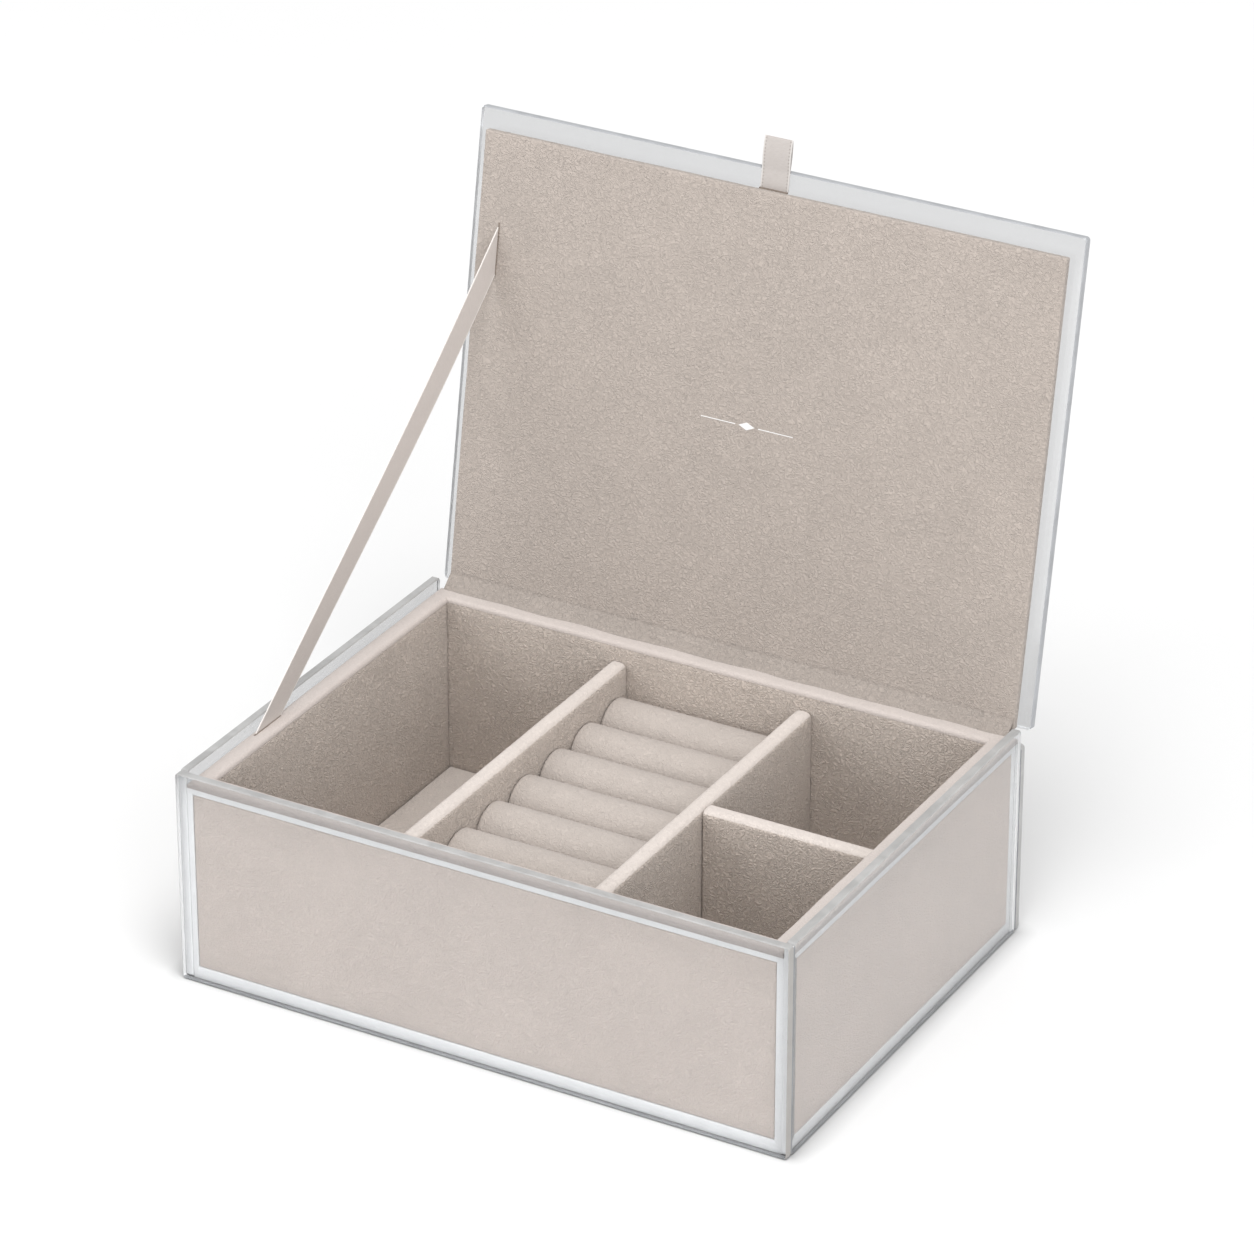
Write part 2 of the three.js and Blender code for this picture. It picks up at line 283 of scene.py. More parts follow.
# The hinge lining is the lid pad's suede painted darker: painted shade
liningSuede = suedeFinish("liningSuede", tuple(0.86 * c for c in suedeColours["lidPad"]), 0.00050, 0.12)
slotShade = suedeFinish("slotShade", (0.24, 0.20, 0.17), 0.0002, 0.1, sheen=0)
glass = glassFinish("clearGlass", (0.73, 0.737, 0.745))
lidGlass = glassFinish("lidGlass", (0.72, 0.724, 0.73))
glassEdge = glassEdgeFinish("glassEdge", (0.36, 0.358, 0.355), 0.12)
glassArris = glassEdgeFinish("glassArris", (0.25, 0.255, 0.265), 0.10)
lidEdge = glassEdgeFinish("lidGlassEdge", (0.33, 0.34, 0.355), 0.10)
lidPaleEdge = glassEdgeFinish("lidPaleEdge", (0.80, 0.81, 0.82), 0.02, glow=0.1)
# A warm grey for the front sheet's right edge, also laid on the side frames' front legs as painted shade
endEdgeAndLegShade = glassEdgeFinish("glassEndEdge", (0.33, 0.315, 0.30), 0.06)
boundEdge = glassEdgeFinish("boundGlassEdge", (0.97, 0.97, 0.97), 0.01)
whiteBoard = boardFinish()
satin = ribbonFinish("satinRibbon", lift=1.4)
stitchedSatin = ribbonFinish("stitchedRibbon", isStitched=True)
foil = foilFinish()
print("finishes ready")


# floor and lights
studio = {
    "floorSize": 12,
    "floorDrop": 0.2,  # mm under the case
    # nearFloor, farFloor and farAway paint the paper darker near the case and lighter far off: painted light
    "nearFloor": 0.74,
    "farFloor": 0.93,
    "farAway": 1.3,
    "contact": 0.55,  # how dark the painted contact shadow is right under the case's edge
    "contactReach": 9,  # mm
    "sky": 0.70,
    "softboxes": [
        {"at": (0.45, -0.55, 2.35), "size": 1.3, "power": 39},
        {"at": (1.9, -1.4, 1.0), "size": 1.4, "power": 19},
        {"at": (-1.1, -2.0, 0.9), "size": 1.4, "power": 15.5},
    ],
}


# White paper, painted darker near the case and lighter far off to even out the softboxes' light, with a
# painted contact shadow in a narrow band round the foot of the case
def floorFinish():
    material, tree, shader = newMaterial("floorPaper")
    place = tree.nodes.new("ShaderNodeTexCoord").outputs["Object"]
    split = tree.nodes.new("ShaderNodeSeparateXYZ")
    tree.links.new(place, split.inputs["Vector"])
    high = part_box("front_glass")[1].x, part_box("right_glass")[1].y
    squares = []
    radii = []
    for axis, reach in zip(("X", "Y"), high):
        out = addMath(tree, "SUBTRACT", addMath(tree, "ABSOLUTE", split.outputs[axis], 0), reach)
        squares.append(addMath(tree, "POWER", addMath(tree, "MAXIMUM", out, 0), 2))
        radii.append(addMath(tree, "POWER", split.outputs[axis], 2))
    # painted contact shadow: the paper darkens towards the case's footprint
    gap = addMath(tree, "SQRT", addMath(tree, "ADD", *squares), 0)
    shade = addMath(tree, "MINIMUM", addMath(tree, "DIVIDE", gap, studio["contactReach"] * mm), 1)
    shade = addMath(tree, "POWER", shade, 0.5)
    shade = addMath(tree, "ADD", addMath(tree, "MULTIPLY", shade, 1 - studio["contact"]), studio["contact"])
    radius = addMath(tree, "SQRT", addMath(tree, "ADD", *radii), 0)
    far = addMath(tree, "MINIMUM", addMath(tree, "DIVIDE", radius, studio["farAway"]), 1)
    rise = studio["farFloor"] - studio["nearFloor"]
    level = addMath(tree, "ADD", addMath(tree, "MULTIPLY", far, rise), studio["nearFloor"])
    tree.links.new(addMath(tree, "MULTIPLY", level, shade), shader.inputs["Base Color"])
    shader.inputs["Roughness"].default_value = 0.9
    shader.inputs["Specular IOR Level"].default_value = 0.1
    return material


def lightStudio():
    world = bpy.data.worlds.new("studioWorld")
    bpy.context.scene.world = world
    world.use_nodes = True
    background = world.node_tree.nodes["Background"]
    background.inputs["Color"].default_value = (1, 1, 1, 1)
    background.inputs["Strength"].default_value = studio["sky"]
    for number, lamp in enumerate(studio["softboxes"]):
        bpy.ops.object.light_add(type="AREA", location=lamp["at"])
        light = bpy.context.object
        light.name = f"softbox{number}"
        light.data.size = lamp["size"]
        light.data.energy = lamp["power"]
        light.rotation_euler = (-Vector(lamp["at"])).to_track_quat("-Z", "Y").to_euler()
    bpy.ops.mesh.primitive_plane_add(size=studio["floorSize"], location=(0, 0, -studio["floorDrop"] * mm))
    floor = bpy.context.object
    floor.name = "studioFloor"
    floor.data.materials.append(floorFinish())
    bpy.context.scene.view_settings.view_transform = "Standard"


lightStudio()
print("studio ready")


# workshop helpers
def clearSelection():
    bpy.ops.object.select_all(action="DESELECT")


def makeActive(piece):
    clearSelection()
    piece.select_set(True)
    bpy.context.view_layer.objects.active = piece


def settle(piece):
    makeActive(piece)
    bpy.ops.object.transform_apply(location=True, rotation=True, scale=True)


def addBlock(name, low, high):
    clearSelection()
    low, high = Vector(low), Vector(high)
    bpy.ops.mesh.primitive_cube_add(size=1, location=(low + high) / 2, scale=high - low)
    piece = bpy.context.object
    piece.name = name
    settle(piece)
    return piece


# Goes into edit mode with only the edges or faces that pass the test selected
def pick(piece, kind, test):
    makeActive(piece)
    bpy.ops.object.mode_set(mode="EDIT")
    bpy.context.tool_settings.mesh_select_mode = (False, kind == "edges", kind == "faces")
    bpy.ops.mesh.select_all(action="DESELECT")
    shape = bmesh.from_edit_mesh(piece.data)
    for element in getattr(shape, kind):
        if test(element):
            element.select_set(True)
    bmesh.update_edit_mesh(piece.data)


def leaveEdit():
    bpy.ops.object.mode_set(mode="OBJECT")


def direction(edge):
    return (edge.verts[1].co - edge.verts[0].co).normalized()


def middle(edge):
    return (edge.verts[0].co + edge.verts[1].co) / 2


# Cuts a block into strips of about the spacing along each axis
def divide(piece, spacing, axes=(0, 1, 2)):
    size = piece.dimensions
    for axis in axes:
        cuts = min(100, round(size[axis] / spacing) - 1)
        if cuts > 0:
            pick(piece, "edges", lambda edge: abs(direction(edge)[axis]) > 0.99)
            bpy.ops.mesh.subdivide(number_cuts=cuts)
            leaveEdit()


def roundEdges(piece, width, segments, angle=40):
    makeActive(piece)
    bevel = piece.modifiers.new("rounding", "BEVEL")
    bevel.width = width
    bevel.segments = segments
    bevel.limit_method = "ANGLE"
    bevel.angle_limit = math.radians(angle)
    bpy.ops.object.modifier_apply(modifier=bevel.name)


# Lets the surface wander a little, as wrapped cloth does
def waver(piece, depth, size):
    makeActive(piece)
    clouds = bpy.data.textures.new(f"{piece.name}Clouds", "CLOUDS")
    clouds.noise_scale = size
    clouds.noise_depth = 2
    displace = piece.modifiers.new("waver", "DISPLACE")
    displace.texture = clouds
    displace.texture_coords = "LOCAL"
    displace.strength = depth
    displace.mid_level = 0.5
    bpy.ops.object.modifier_apply(modifier=displace.name)


def smooth(piece, angle=60):
    makeActive(piece)
    bpy.ops.object.shade_smooth_by_angle(angle=math.radians(angle))


def finishPiece(piece, material, slot, body, *nodes):
    piece.data.materials.clear()
    piece.data.materials.append(material)
    if nodes:
        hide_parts(*nodes)
    if body:
        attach(piece, body)


# Joins the pieces into the first of them
def joinPieces(pieces):
    clearSelection()
    for piece in pieces:
        piece.select_set(True)
    bpy.context.view_layer.objects.active = pieces[0]
    bpy.ops.object.join()
    return bpy.context.object


# glass, white boards and the bed under the rolls keep their CAD shape
def dress(node, *materials):
    piece = frame["nodes"][node]
    piece.data.materials.clear()
    for material in materials:
        piece.data.materials.append(material)
    return piece


# Faces of the sheet are clear and its edges ground. Each extra edge finish comes with a test of the
# normal that picks its edges: those bonded to another sheet or painted on the back look pale.
def dressSheet(node, face, edge=glassEdge, arris=glassArris, extras=()):
    piece = dress(node, face, edge, arris, *(material for material, isPicked in extras))
    broad = Vector(max(piece.data.polygons, key=lambda polygon: polygon.area).normal)
    for polygon in piece.data.polygons:
        facing = abs(polygon.normal.dot(broad))
        if facing > 0.95:
            continue
        # Side and upward edges take the edge finish; arrises and downward edges take the darker arris finish,
        # which is painted shade
        isGround = facing < 0.3 and polygon.normal.z > -0.3
        polygon.material_index = 1 if isGround or polygon.normal.z > 0.3 else 2
        for number, (material, isPicked) in enumerate(extras):
            if isPicked(polygon.normal):
                polygon.material_index = 3 + number


# The ends of a side sheet, and the arris on their inner side
def boundSide(outward):
    return lambda normal: abs(normal.y) > 0.95 or (abs(normal.y) > 0.6 and normal.x * outward < -0.3)


dressSheet("front_glass", glass, extras=[
    (boundEdge, lambda normal: normal.x < -0.3 and normal.y > -0.3 and abs(normal.z) < 0.5),
    (endEdgeAndLegShade, lambda normal: normal.x > 0.3 and abs(normal.z) < 0.5),
])
dressSheet("back_glass", glass)
dressSheet("left_glass", glass, extras=[(boundEdge, boundSide(-1))])
dressSheet("right_glass", glass, extras=[(boundEdge, boundSide(1))])
dressSheet("base_glass", glass)
# The lid's left and lower edges take a pale, glowing copy of the edge finish: a painted highlight
dressSheet("lid_glass", lidGlass, lidEdge, lidEdge, extras=[
    (lidPaleEdge, lambda normal: normal.x < -0.3 or normal.z < -0.3),
])
for node in ("base_board", "front_backing", "right_backing", "back_backing", "left_backing"):
    dress(node, whiteBoard)
dress("ring_bed", wallSuede)
print("glass and boards dressed")


# cover panels behind the glass
coverPanel = {"round": 0.45, "spacing": 4.5, "waver": 0.12, "waverSize": 0.03}


def makeCoverPanel(side):
    node = f"{side}_panel"
    piece = addBlock(f"{side}CoverPanel", *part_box(node))
    divide(piece, coverPanel["spacing"] * mm)
    roundEdges(piece, coverPanel["round"] * mm, 3)
    waver(piece, coverPanel["waver"] * mm, coverPanel["waverSize"])
    smooth(piece)
    # The covers behind the glass take suede painted lighter, the side ones lighter still: painted light for
    # what the glass keeps off them
    finish = coverSuede if side in ("front", "back") else sideCoverSuede
    finishPiece(piece, finish, "suede_cover", caseBody, node)


for side in sides:
    makeCoverPanel(side)
print("cover panels made")


# white border frames
border = {"cant": 0.45, "gap": 0.25, "spread": 0.25, "foot": 0.12, "round": 0.12}


# Four canted strips, mitred at the corners, round a cover panel
def makeBorder(side):
    node = f"{side}_border"
    low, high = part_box(node)
    panelLow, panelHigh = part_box(f"{side}_panel")
    along = 0 if side in ("front", "back") else 1
    through = 1 - along
    outward = 1 if side in ("right", "back") else -1
    outer = high[through] if outward > 0 else low[through]
    inner = low[through] if outward > 0 else high[through]
    spread, gap, cant = border["spread"] * mm, border["gap"] * mm, border["cant"] * mm
    spreadEnds = spread if along == 0 else 0
    corners = [(-1, -1), (1, -1), (1, 1), (-1, 1)]

    def corner(turn, isInside, isFace):
        alongSign, upSign = corners[turn % 4]
        if isInside:
            across = panelHigh[along] + gap if alongSign > 0 else panelLow[along] - gap
            up = panelHigh.z + gap if upSign > 0 else panelLow.z - gap
        else:
            across = high[along] + spreadEnds if alongSign > 0 else low[along] - spreadEnds
            up = high.z if upSign > 0 else border["foot"] * mm
        level = inner
        if isFace:
            level = outer if isInside else outer - outward * cant
        place = Vector((0, 0, up))
        place[along] = across
        place[through] = level
        return place

    strips = []
    for turn in range(4):
        strip = addBlock(f"{side}Border{turn}", (0, 0, 0), (1, 1, 1))
        for vertex in strip.data.vertices:
            isNext, isInside, isFace = (value > 0.5 for value in vertex.co)
            vertex.co = corner(turn + isNext, isInside, isFace)
        strips.append(strip)
    piece = joinPieces(strips)
    piece.name = f"{side}BorderFrame"
    bpy.ops.object.mode_set(mode="EDIT")
    bpy.ops.mesh.select_all(action="SELECT")
    bpy.ops.mesh.normals_make_consistent(inside=False)
    leaveEdit()
    roundEdges(piece, border["round"] * mm, 2, angle=20)
    smooth(piece, 30)
    finishPiece(piece, whiteBoard, "white_board", caseBody, node)
    # The front legs of the side frames take the grey end-edge finish: painted shade where the front sheet
    # shades them
    if along == 1:
        piece.data.materials.append(endEdgeAndLegShade)
        for polygon in piece.data.polygons:
            if polygon.center.y < panelLow.y and polygon.center.z > panelLow.z:
                polygon.material_index = 1


for side in sides:
    makeBorder(side)
print("border frames made")


# suede walls and rim
liner = {
    "tuck": 0.3,  # how far each wall goes up into the rim
    "round": 0.5,
    "spacing": 4,
    "waver": 0.25,
    "waverSize": 0.03,
}


def makeLiner(side):
    node = f"{side}_liner"
    low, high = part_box(node)
    piece = addBlock(f"{side}Wall", low, high + Vector((0, 0, liner["tuck"])) * mm)
    divide(piece, liner["spacing"] * mm)
    roundEdges(piece, liner["round"] * mm, 3)
    waver(piece, liner["waver"] * mm, liner["waverSize"])
    smooth(piece)
    finishPiece(piece, wallSuede, "suede_lining", caseBody, node)


rim = {
    "innerRound": 1.7,
    "outerRound": 1.1,
    "roundSteps": 5,
    "cuts": (70, 50),  # across the long and the short sides
    "longEdge": 150,
    "waver": 0.35,
    "waverSize": 0.02,
}


# One suede band round the top of the tray, drawn as a flat frame, thickened and rounded
def makeRim():
    frontLow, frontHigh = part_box("front_rim")
    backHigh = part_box("back_rim")[1]
    top, under = frontHigh.z, frontLow.z
    low = Vector((frontLow.x, frontLow.y, top))
    high = Vector((backHigh.x, backHigh.y, top))
    width = frontHigh.y - frontLow.y
    clearSelection()
    bpy.ops.mesh.primitive_plane_add(size=1, location=(low + high) / 2)
    piece = bpy.context.object
    piece.name = "trayRim"
    piece.scale = (high.x - low.x, high.y - low.y, 1)
    settle(piece)
    pick(piece, "faces", lambda face: True)
    bpy.ops.mesh.inset(thickness=width, depth=0)
    bpy.ops.mesh.delete(type="FACE")
    bpy.ops.mesh.select_all(action="SELECT")
    bpy.ops.mesh.extrude_region_move(TRANSFORM_OT_translate={"value": (0, 0, under - top)})
    bpy.ops.mesh.select_all(action="SELECT")
    bpy.ops.mesh.normals_make_consistent(inside=False)
    leaveEdit()

    def isTopEdge(edge, reachX, reachY):
        place = middle(edge)
        if abs(place.z - top) > 1e-6:
            return False
        alongY = abs(direction(edge).y) > 0.9 and abs(abs(place.x) - reachX) < 1e-6
        alongX = abs(direction(edge).x) > 0.9 and abs(abs(place.y) - reachY) < 1e-6
        return alongX or alongY

    for reachX, reachY, radius in (
        (high.x, high.y, "outerRound"),
        (high.x - width, high.y - width, "innerRound"),
    ):
        pick(piece, "edges", lambda edge: isTopEdge(edge, reachX, reachY))
        bpy.ops.mesh.bevel(offset=rim[radius] * mm, segments=rim["roundSteps"], profile=0.5)
        leaveEdit()
    longEdge = rim["longEdge"] * mm
    for axis, cuts in enumerate(rim["cuts"]):
        pick(piece, "edges", lambda edge: abs(direction(edge)[axis]) > 0.99 and edge.calc_length() > longEdge)
        bpy.ops.mesh.subdivide(number_cuts=cuts)
        leaveEdit()
    waver(piece, rim["waver"] * mm, rim["waverSize"])
    smooth(piece)
    finishPiece(piece, rimSuede, "suede_lining", caseBody, "front_rim", "right_rim", "back_rim", "left_rim")


for side in sides:
    makeLiner(side)
makeRim()
print("walls and rim made")


# dividers and floor pads
divider = {
    "topRound": 2.6,
    "topSteps": 6,
    "endRound": 0.8,
    "cutsAlong": 30,
    "cutsUp": 14,
    "tallEdge": 50,
    "waver": 0.3,
    "waverSize": 0.03,
}


def makeDivider(name, node, alongAxis):
    piece = addBlock(name, *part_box(node))
    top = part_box(node)[1].z

    def isTopEdge(edge):
        return abs(direction(edge)[alongAxis]) > 0.9 and abs(middle(edge).z - top) < 1e-6

    pick(piece, "edges", isTopEdge)
    bpy.ops.mesh.bevel(offset=divider["topRound"] * mm, segments=divider["topSteps"], profile=0.5)
    leaveEdit()
    roundEdges(piece, divider["endRound"] * mm, 3)
    pick(piece, "edges", lambda edge: abs(direction(edge)[alongAxis]) > 0.9)
    bpy.ops.mesh.subdivide(number_cuts=divider["cutsAlong"])
    leaveEdit()
    tallEdge = divider["tallEdge"] * mm
    pick(piece, "edges", lambda edge: abs(direction(edge).z) > 0.9 and edge.calc_length() > tallEdge)
    bpy.ops.mesh.subdivide(number_cuts=divider["cutsUp"])
    leaveEdit()
    waver(piece, divider["waver"] * mm, divider["waverSize"])
    smooth(piece)
    finishPiece(piece, wallSuede, "suede_lining", caseBody, node)
    # Upward faces take a lighter copy of the suede: a painted highlight along the divider tops
    piece.data.materials.append(dividerTopSuede)
    for polygon in piece.data.polygons:
        if polygon.normal.z > 0.5:
            polygon.material_index = 1


makeDivider("leftDivider", "divider_left", 1)
makeDivider("rightDivider", "divider_right", 1)
makeDivider("crossDivider", "cross_divider", 0)

floorPad = {"round": 1.0, "spacing": 5, "waver": 0.35, "waverSize": 0.04}


def makeFloorPad(name, node):
    piece = addBlock(name, *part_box(node))
    divide(piece, floorPad["spacing"] * mm, axes=(0, 1))
    roundEdges(piece, floorPad["round"] * mm, 3)
    waver(piece, floorPad["waver"] * mm, floorPad["waverSize"])
    smooth(piece)
    finishPiece(piece, floorSuede, "suede_lining", caseBody, node)


makeFloorPad("leftFloorPad", "floor_pad_left")
makeFloorPad("rightFrontFloorPad", "floor_pad_right_front")
makeFloorPad("rightBackFloorPad", "floor_pad_right_back")
print("dividers and floors made")


# ring rolls
ringRoll = {"sides": 56, "endRound": 1.6, "longEdge": 20, "cuts": 26, "waver": 0.35, "waverSize": 0.02}


def makeRingRoll(number):
    node = f"ring_roll_{number}"
    low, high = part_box(node)
    clearSelection()
    bpy.ops.mesh.primitive_cylinder_add(
        vertices=ringRoll["sides"],
        radius=(high.z - low.z) / 2,
        depth=high.x - low.x,
        location=(low + high) / 2,
        rotation=(0, math.pi / 2, 0),
        end_fill_type="TRIFAN",
    )
    piece = bpy.context.object
    piece.name = f"ringRoll{number}"
    settle(piece)
    roundEdges(piece, ringRoll["endRound"] * mm, 4)
    longEdge = ringRoll["longEdge"] * mm
    pick(piece, "edges", lambda edge: abs(direction(edge).x) > 0.99 and edge.calc_length() > longEdge)
    bpy.ops.mesh.subdivide(number_cuts=ringRoll["cuts"])
    leaveEdit()
    waver(piece, ringRoll["waver"] * mm, ringRoll["waverSize"])
    smooth(piece)
    finishPiece(piece, rollSuede, "suede_lining", caseBody, node)


rollCount = sum(1 for node in frame["nodes"] if node.startswith("ring_roll_"))
for number in range(1, rollCount + 1):
    makeRingRoll(number)
print("ring rolls made")


# lid, worked closed and then swung open
hinge = next(joint for joint in frame["joints"] if joint["name"] == "lid_hinge")
openAngle = math.radians(hinge["range_deg"][1])
lidPlace = Matrix.Translation(Vector(hinge["pos_m"])) @ Matrix.Rotation(-openAngle, 4, "X")


# A lid node's box in the closed lid's own space, whose origin is on the hinge line
def lidBox(node):
    back = lidPlace.inverted()
    places = [back @ vertex.co for vertex in frame["nodes"][node].data.vertices]
    low = Vector([min(place[axis] for place in places) for axis in range(3)])
    high = Vector([max(place[axis] for place in places) for axis in range(3)])
    return low, high


def swingOpen(piece):
    piece.matrix_world = lidPlace
    settle(piece)


# tuck is how far the pad goes into its backing, and the backing into the glass
lidPad = {"tuck": 0.2, "round": 0.7, "spacing": 4, "waver": 0.35, "waverSize": 0.035}
lidBacking = {"tuck": 0.25, "round": 0.3, "spacing": 6}


def makeLidPad():
    low, high = lidBox("lid_pad")
    high.z += lidPad["tuck"] * mm
    piece = addBlock("lidPad", low, high)
    divide(piece, lidPad["spacing"] * mm)
    roundEdges(piece, lidPad["round"] * mm, 4)
    waver(piece, lidPad["waver"] * mm, lidPad["waverSize"])
    smooth(piece)
    swingOpen(piece)
    finishPiece(piece, lidSuede, "suede_lining", lidBody, "lid_pad")


def makeLidBacking():
    low, high = lidBox("lid_backing")
    high.z += lidBacking["tuck"] * mm
    piece = addBlock("lidBacking", low, high)
    divide(piece, lidBacking["spacing"] * mm)
    roundEdges(piece, lidBacking["round"] * mm, 3)
    smooth(piece)
    swingOpen(piece)
    finishPiece(piece, topSuede, "suede_cover", lidBody, "lid_backing")


makeLidPad()
makeLidBacking()
print("lid pad and backing made")


# hinge cloth
hingeCloth = {
    "thickness": 0.6,
    "overlap": 0.6,  # onto the rim
    "bent": 2.6,  # past the hinge line, leaning back with the lid
    "bulge": 0.25,
    "bendReach": 0.8,  # either side of the hinge line
}


# A grid of cloth whose points go where place(u, v) says, u across and v along, both 0 to 1. Its UV map runs
# over the number of ribs along it.
def makeSheet(name, across, along, place, thickness, ribs):
    clearSelection()
    bpy.ops.mesh.primitive_grid_add(x_subdivisions=across, y_subdivisions=along, size=1, calc_uvs=True)
    piece = bpy.context.object
    piece.name = name
    for vertex in piece.data.vertices:
        vertex.co = place(vertex.co.x + 0.5, vertex.co.y + 0.5)
    for loop in piece.data.uv_layers.active.data:
        loop.uv.y *= ribs
    makeActive(piece)
    solid = piece.modifiers.new("thickness", "SOLIDIFY")
    solid.thickness = thickness
    solid.offset = 0
    bpy.ops.object.modifier_apply(modifier=solid.name)
    smooth(piece)
    return piece


def makeHingeCloth():
    low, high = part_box("hinge_cloth")
    hingeY = hinge["pos_m"][1]
    half = hingeCloth["thickness"] * mm / 2
    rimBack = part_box("back_rim")[1]
    lean = openAngle - math.pi / 2
    flatStart = rimBack.y - hingeCloth["overlap"] * mm
    flatLength = hingeY - flatStart
    bentLength = hingeCloth["bent"] * mm

    def place(u, v):
        x = low.x + (high.x - low.x) * v
        run = (flatLength + bentLength) * u
        bulge = hingeCloth["bulge"] * mm * math.sin(math.pi * min(1, run / flatLength))
        if run <= flatLength:
            return Vector((x, flatStart + run, rimBack.z - half + bulge))
        past = run - flatLength
        return Vector((x, hingeY + past * math.cos(lean), rimBack.z - half - past * math.sin(lean)))

    piece = makeSheet("hingeCloth", 16, 120, place, hingeCloth["thickness"] * mm, 1)
    finishPiece(piece, rimSuede, "suede_lining", None, "hinge_cloth")
    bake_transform(piece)


makeHingeCloth()

hingeLining = {
    "tuck": 2.4,  # back under the rim's top
    "rimLine": 90.4,  # where it leaves the rim, behind the middle of the case
    "padReach": 4.2,  # where it meets the pad, up the lid from the hinge line
    "padTuck": 4.0,
    "rimSink": 0.5,  # how deep its hidden ends lie in the rim and in the pad
    "padSink": 0.7,
    "skin": 0.05,  # how deep it lies where it leaves them
    "layer": 0.35,
    "inset": 0.4,
}


# The inner face of the cloth hinge: out of the rim, up across the bend and in behind the foot of the pad
def makeHingeLining():
    low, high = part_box("lid_pad")
    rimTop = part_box("back_rim")[1].z
    skin = hingeLining["skin"] * mm
    inset = hingeLining["inset"] * mm
    rimLine = hingeLining["rimLine"] * mm
    reach, padTuck = hingeLining["padReach"] * mm, hingeLining["padTuck"] * mm
    route = [
        Vector((0, rimLine - hingeLining["tuck"] * mm, rimTop - hingeLining["rimSink"] * mm)),
        Vector((0, rimLine, rimTop - skin)),
        lidPlace @ Vector((0, -reach, -skin)),
        lidPlace @ Vector((0, -reach - padTuck, hingeLining["padSink"] * mm)),
    ]
    lengths = [(b - a).length for a, b in zip(route, route[1:])]
    total = sum(lengths)

    def place(u, v):
        run = u * total
        for start, end, length in zip(route, route[1:], lengths):
            if run <= length + 1e-9:
                point = start.lerp(end, run / length)
                break
            run -= length
        return Vector((low.x + inset + (high.x - low.x - 2 * inset) * v, point.y, point.z))

    piece = makeSheet("hingeLining", 40, 120, place, hingeLining["layer"] * mm, 1)
    finishPiece(piece, liningSuede, "suede_lining", None, "hinge_cloth")
    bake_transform(piece)


makeHingeLining()


# ribbon stay
stay = {
    "thickness": 0.4,
    "baseInset": 5.6,  # from the case's left side to the middle of the slot in the rim
    "topInset": 14.4,
    "baseFront": 46.0,  # the slot in the rim, from the case's front
    "baseBack": 63.8,
    "topLow": 130.2,  # the slot in the pad, up the lid from the hinge line
    "topHigh": 149.8,
    "tuck": 0.8,  # how far each end goes into its slot
    "bow": 1.2,
    "sway": 0.3,
    "ribsPerMm": 2.2,
    # Shares of the ribbon's length, from foot to head, at which a start and an end point are worked out; the
    # start lies below the foot.
    "bendFrom": -0.16,
    "bendTo": 0.92,
}


def makeRibbonStay():
    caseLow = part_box("left_glass")[0]
    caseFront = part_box("front_glass")[0].y
    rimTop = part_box("left_rim")[1].z
    baseX = caseLow.x + stay["baseInset"] * mm
    topX = caseLow.x + stay["topInset"] * mm
    tuck = stay["tuck"] * mm

    def onPad(length):
        return lidPlace @ Vector((topX, -length * mm, tuck))

    corners = [
        Vector((baseX, caseFront + stay["baseBack"] * mm, rimTop - tuck)),
        Vector((baseX, caseFront + stay["baseFront"] * mm, rimTop - tuck)),
        onPad(stay["topLow"]),
        onPad(stay["topHigh"]),
    ]

    def place(u, v):
        foot = corners[0].lerp(corners[1], u)
        head = corners[2].lerp(corners[3], u)
        point = foot.lerp(head, v)
        point.x += stay["bow"] * mm * math.sin(math.pi * v) - stay["sway"] * mm * math.sin(math.tau * v)
        return point

    run = ((corners[2] + corners[3]) / 2 - (corners[0] + corners[1]) / 2).length
    piece = makeSheet("ribbonStay", 12, 120, place, stay["thickness"] * mm, run / mm * stay["ribsPerMm"])
    finishPiece(piece, satin, "satin_ribbon", None, "ribbon_stay")
    foot, head = (corners[0] + corners[1]) / 2, (corners[2] + corners[3]) / 2
    start, end = foot.lerp(head, stay["bendFrom"]), foot.lerp(head, stay["bendTo"])
    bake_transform(piece)
    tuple(start)
    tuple(end)
    print("ribbon stay", round(run / mm, 1), "mm")


makeRibbonStay()

slot = {
    "length": 18.5,
    "padLength": 21,
    "width": 0.7,
    "depth": 0.5,
    "proud": 0.22,
    "rimProud": 0.12,
    "tabLine": 0.5,
}


# Dark blocks of painted shade for the slits that the ribbon comes out of, one in the rim and one in the pad,
# and a painted shadow line at the root of the pull tab
def makeSlots():
    half, proud, depth = slot["width"] * mm / 2, slot["proud"] * mm, slot["depth"] * mm
    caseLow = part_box("left_glass")[0]
    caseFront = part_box("front_glass")[0].y
    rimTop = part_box("left_rim")[1].z
    middleY = caseFront + (stay["baseFront"] + stay["baseBack"]) / 2 * mm
    x = caseLow.x + stay["baseInset"] * mm + half
    reach = slot["length"] * mm / 2
    low = Vector((x - half, middleY - reach, rimTop - depth))
    high = Vector((x + half, middleY + reach, rimTop + slot["rimProud"] * mm))
    piece = addBlock("rimSlot", low, high)
    finishPiece(piece, slotShade, "suede_lining", caseBody)
    x = caseLow.x + stay["topInset"] * mm + half
    length = (stay["topLow"] + stay["topHigh"]) / 2 * mm
    reach = slot["padLength"] * mm / 2
    piece = addBlock("padSlot", (x - half, -length - reach, -proud), (x + half, -length + reach, depth))
    swingOpen(piece)
    finishPiece(piece, slotShade, "suede_lining", lidBody)
    low, high = lidBox("pull_tab")
    face = lidBox("lid_pad")[1].z
    line = Vector((0, slot["tabLine"] * mm, 0))
    piece = addBlock("tabSlot", (low.x, high.y, face), Vector((high.x, high.y, low.z)) + line)
    swingOpen(piece)
    finishPiece(piece, slotShade, "suede_lining", lidBody)


makeSlots()


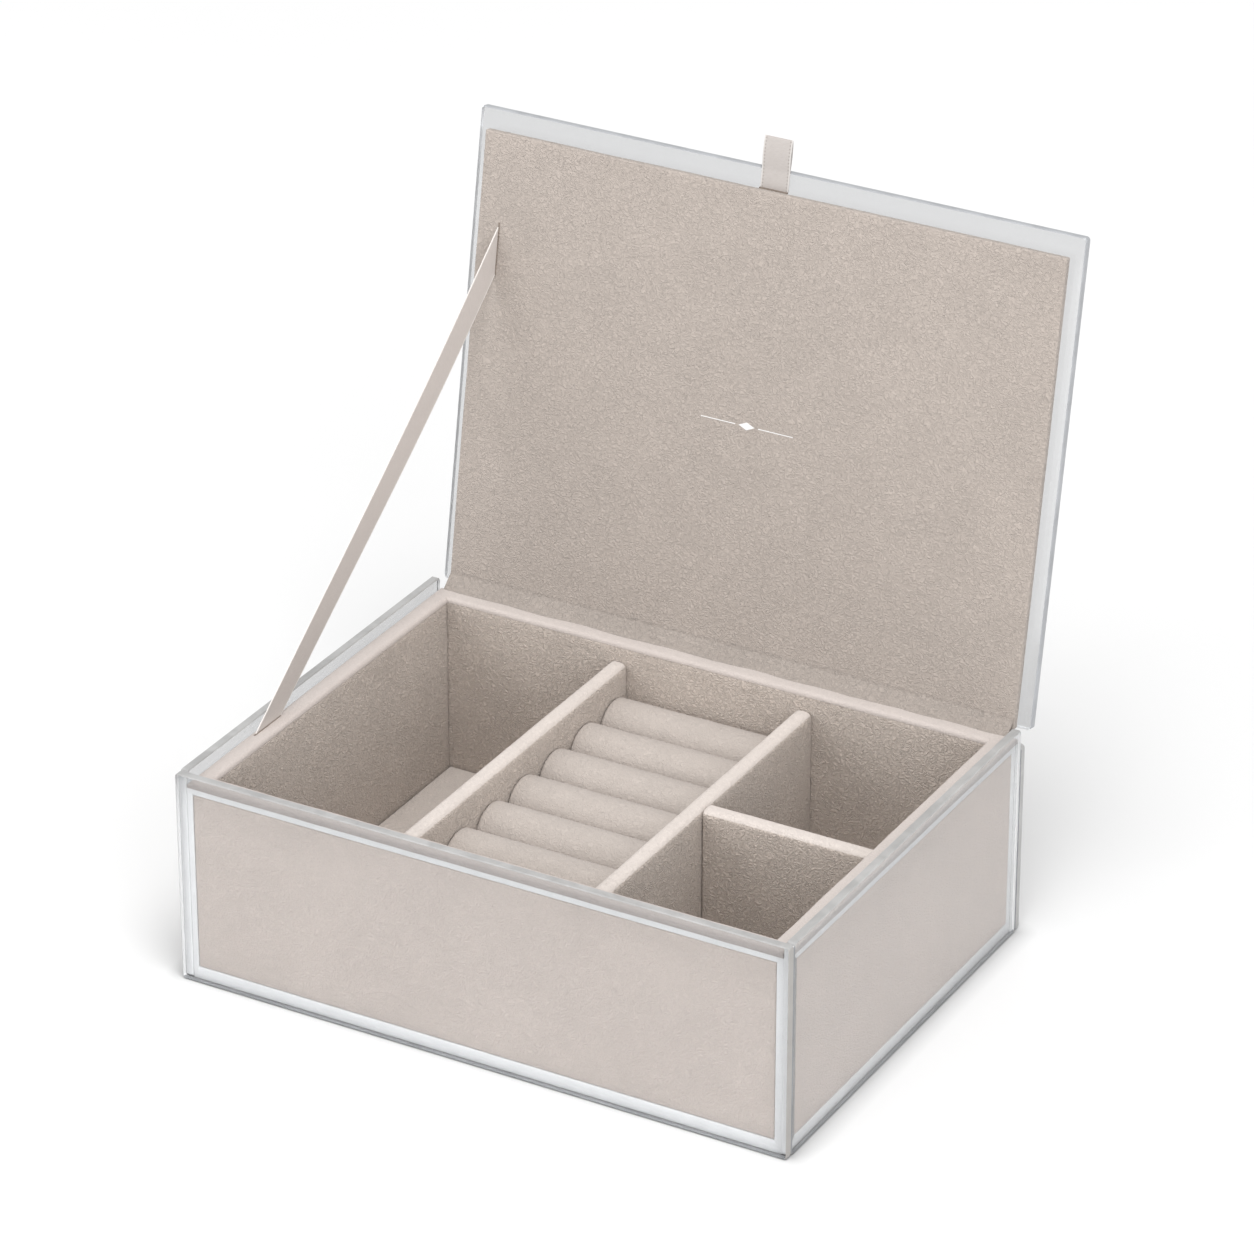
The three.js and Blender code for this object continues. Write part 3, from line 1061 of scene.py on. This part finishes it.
# pull tab
tab = {
    "layer": 0.4,  # both layers of the loop together
    "reach": 1.5,  # past the tab's solid
    "puff": 0.55,
    "gap": 0.03,  # half the gap between the layers where they lie flat
    "fold": 0.03,  # share of the loop that turns over at the tip
    "ribsPerMm": 2.2,
}


def makePullTab():
    low, high = lidBox("pull_tab")
    glassFront = lidBox("lid_glass")[0].y
    level = (low.z + high.z) / 2
    root = high.y
    tip = low.y - tab["reach"] * mm
    loop = 2 * (root - tip)

    def place(u, v):
        x = low.x + (high.x - low.x) * u
        share = 1 - abs(2 * v - 1)  # 0 at the root, 1 at the fold
        y = root + (tip - root) * share
        past = max(0, (glassFront - y) / (glassFront - tip))
        puff = tab["puff"] * mm * math.sin(math.pi * min(1, past * 0.92 + 0.04)) + tab["gap"] * mm
        side = -1 if v < 0.5 else 1
        if share > 1 - tab["fold"]:
            side *= (1 - share) / tab["fold"]
        return Vector((x, y, level + side * puff))

    piece = makeSheet("pullTab", 12, 60, place, tab["layer"] * mm / 2, loop / mm * tab["ribsPerMm"])
    swingOpen(piece)
    finishPiece(piece, stitchedSatin, "satin_ribbon", lidBody, "pull_tab")


makePullTab()
print("ribbons made")


# foil ornament
ornament = {"lozenge": (7, 3.2), "gap": 1.5, "hairline": 15, "hairWidth": 0.35, "height": 0.06}


def makeOrnament():
    low, high = lidBox("lid_pad")
    centre = Vector(((low.x + high.x) / 2, (low.y + high.y) / 2, low.z))
    depth = ornament["height"] * mm
    clearSelection()
    bpy.ops.mesh.primitive_cylinder_add(vertices=4, radius=1, depth=1, location=centre)
    piece = bpy.context.object
    piece.name = "foilOrnament"
    piece.scale = (ornament["lozenge"][0] * mm / 2, ornament["lozenge"][1] * mm / 2, 2 * depth)
    settle(piece)
    for sideways in (-1, 1):
        offset = sideways * (ornament["lozenge"][0] / 2 + ornament["gap"] + ornament["hairline"] / 2) * mm
        half = Vector((ornament["hairline"] / 2, ornament["hairWidth"] / 2, 0)) * mm
        half.z = depth
        place = centre + Vector((offset, 0, 0))
        piece = joinPieces([piece, addBlock("foilLine", place - half, place + half)])
    swingOpen(piece)
    finishPiece(piece, foil, "satin_ribbon", lidBody)


makeOrnament()
print("ornament made")
